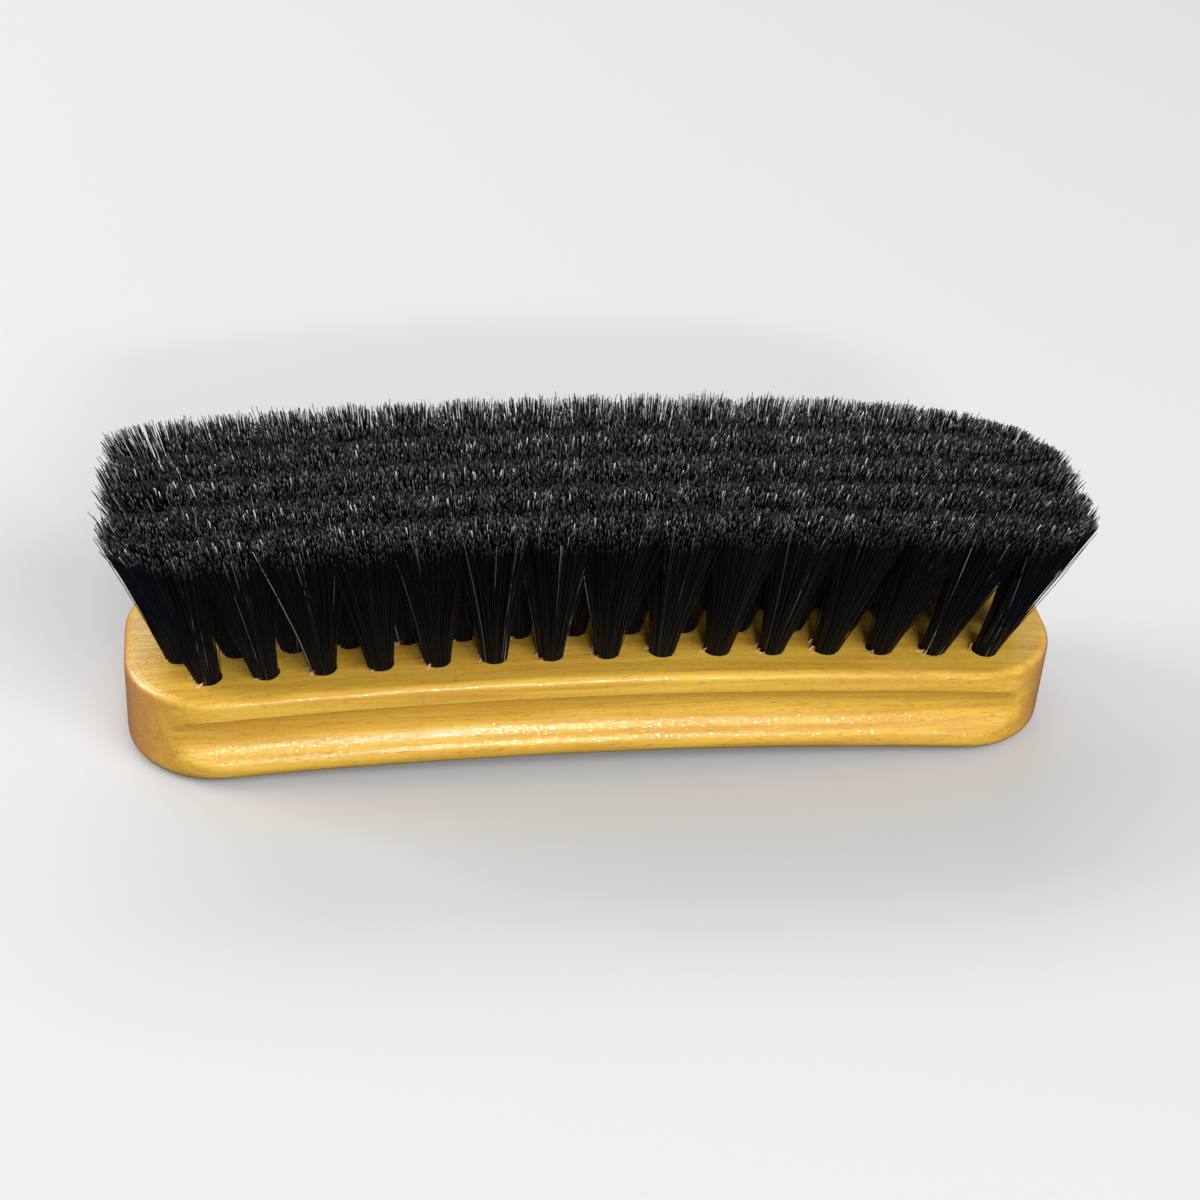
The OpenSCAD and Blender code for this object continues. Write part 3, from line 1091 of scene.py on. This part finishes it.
FLOOR_REACH = 4.0
FLOOR_BOUNCE = "#505254"
WORLD_COLOUR = "#F4F6F8"
WORLD_LIGHT = 0.32
WORLD_SEEN = 0.7
LAMP_TARGET = (0, 0, 0.02)
LAMPS = (
    # name, place, size and power
    ("key", (0.84, -1.2, 1.24), (1.2, 1.0), 21.0),
    ("window", (0.1, -1.7, 0.76), (0.44, 0.10), 13.0),
    ("left end", (-1.3, 0.4, 0.6), (0.8, 0.8), 13.6),
    ("back", (-0.2, 1.2, 1.3), (1.6, 0.6), 10.0),
)


class BRUSH_OT_stage(bpy.types.Operator):
    """Set the floor, the lights and the camera"""

    bl_idname = "brush.stage"
    bl_label = "Stage"

    def execute(self, context):
        scene = context.scene
        self.lay_floor(scene.brush_colours)
        self.hang_lights()
        self.set_camera(scene)
        scene.view_settings.view_transform = "Standard"
        return {"FINISHED"}

    def lay_floor(self, colours):
        """A plain pale floor, far larger than the view."""
        material, tree = new_material("matt_pale_floor")
        # Pale to the camera, darker to the light that would bounce off it onto the brush
        seen = add_node(tree, "ShaderNodeLightPath").outputs["Is Camera Ray"]
        shade = mixed(tree, seen, linear(FLOOR_BOUNCE), (*colours.floor, 1))
        finish_surface(tree, {"Base Color": shade, "Roughness": 0.75})
        mesh = bpy.data.meshes.new("floor")
        corners = ((-1, -1), (1, -1), (1, 1), (-1, 1))
        mesh.from_pydata(
            [(FLOOR_REACH * x, FLOOR_REACH * y, 0) for x, y in corners], [], [(0, 1, 2, 3)])
        mesh.materials.append(material)
        shown("floor", mesh)

    def hang_lights(self):
        """Soft boxes at a plain level, and an even world."""
        world = bpy.data.worlds.new("studio")
        world.use_nodes = True
        tree = world.node_tree
        backdrop = tree.nodes["Background"]
        backdrop.inputs["Color"].default_value = linear(WORLD_COLOUR)
        # Pale to the camera, dimmer as a source of light
        seen = add_node(tree, "ShaderNodeLightPath").outputs["Is Camera Ray"]
        strength = ranged(tree, seen, 0.0, 1.0, WORLD_LIGHT, WORLD_SEEN)
        tree.links.new(strength, backdrop.inputs["Strength"])
        bpy.context.scene.world = world
        for name, spot, size, power in LAMPS:
            data = bpy.data.lights.new(name, "AREA")
            data.shape = "RECTANGLE"
            data.size, data.size_y = size
            data.energy = power
            lamp = shown(name, data)
            # The key lights the wood but leaves no shine on the lacquer
            lamp.visible_glossy = name != "key"
            lamp.location = spot
            towards = Vector(LAMP_TARGET) - Vector(spot)
            lamp.rotation_euler = towards.to_track_quat("-Z", "Y").to_euler()

    def set_camera(self, scene):
        """The camera that the photograph's outlines were fitted with."""
        azimuth, elevation = math.radians(VIEW_AZIMUTH), math.radians(VIEW_ELEVATION)
        roll = math.radians(VIEW_ROLL)
        back = Vector((
            math.sin(azimuth) * math.cos(elevation),
            -math.cos(azimuth) * math.cos(elevation),
            math.sin(elevation)))
        right = (-back).cross(Vector((0, 0, 1))).normalized()
        up = right.cross(-back)
        image_right = math.cos(roll) * right + math.sin(roll) * up
        image_up = -math.sin(roll) * right + math.cos(roll) * up
        spot = MM * (VIEW_DISTANCE * back - VIEW_SHIFT[0] * right - VIEW_SHIFT[1] * up)
        data = bpy.data.cameras.new("view")
        data.sensor_width = SENSOR
        data.lens = FOCAL_SHARE * SENSOR
        data.clip_start = NEAREST_SEEN
        camera = shown("view", data)
        turn = Matrix((image_right, image_up, back)).transposed()
        camera.matrix_world = Matrix.Translation(spot) @ turn.to_4x4()
        scene.camera = camera


class BRUSH_PT_panel(bpy.types.Panel):
    """Lists the pieces of the brush and what can be changed"""

    bl_label = "Shine brush"
    bl_idname = "BRUSH_PT_panel"
    bl_space_type = "VIEW_3D"
    bl_region_type = "UI"
    bl_category = "Brush"

    def draw(self, context):
        layout = self.layout
        for group in (
            context.scene.brush_block, context.scene.brush_tufts, context.scene.brush_colours
        ):
            box = layout.box()
            for name in group.__annotations__:
                box.prop(group, name)
        for operator in OPERATORS:
            layout.operator(operator.bl_idname)


OPERATORS = (
    BRUSH_OT_block, BRUSH_OT_fibres, BRUSH_OT_hair, BRUSH_OT_staples, BRUSH_OT_stage)
CLASSES = (BrushBlockSizes, BrushTuftSizes, BrushColours, *OPERATORS, BRUSH_PT_panel)


def register():
    for cls in CLASSES:
        bpy.utils.register_class(cls)
    bpy.types.Scene.brush_block = PointerProperty(type=BrushBlockSizes)
    bpy.types.Scene.brush_tufts = PointerProperty(type=BrushTuftSizes)
    bpy.types.Scene.brush_colours = PointerProperty(type=BrushColours)


def unregister():
    del bpy.types.Scene.brush_colours
    del bpy.types.Scene.brush_tufts
    del bpy.types.Scene.brush_block
    for cls in reversed(CLASSES):
        bpy.utils.unregister_class(cls)


def main():
    """Dresses the brush."""
    register()
    bpy.ops.brush.block()
    bpy.ops.brush.fibres()
    bpy.ops.brush.hair()
    bpy.ops.brush.staples()
    bpy.ops.brush.stage()


if __name__ == "__main__":
    main()
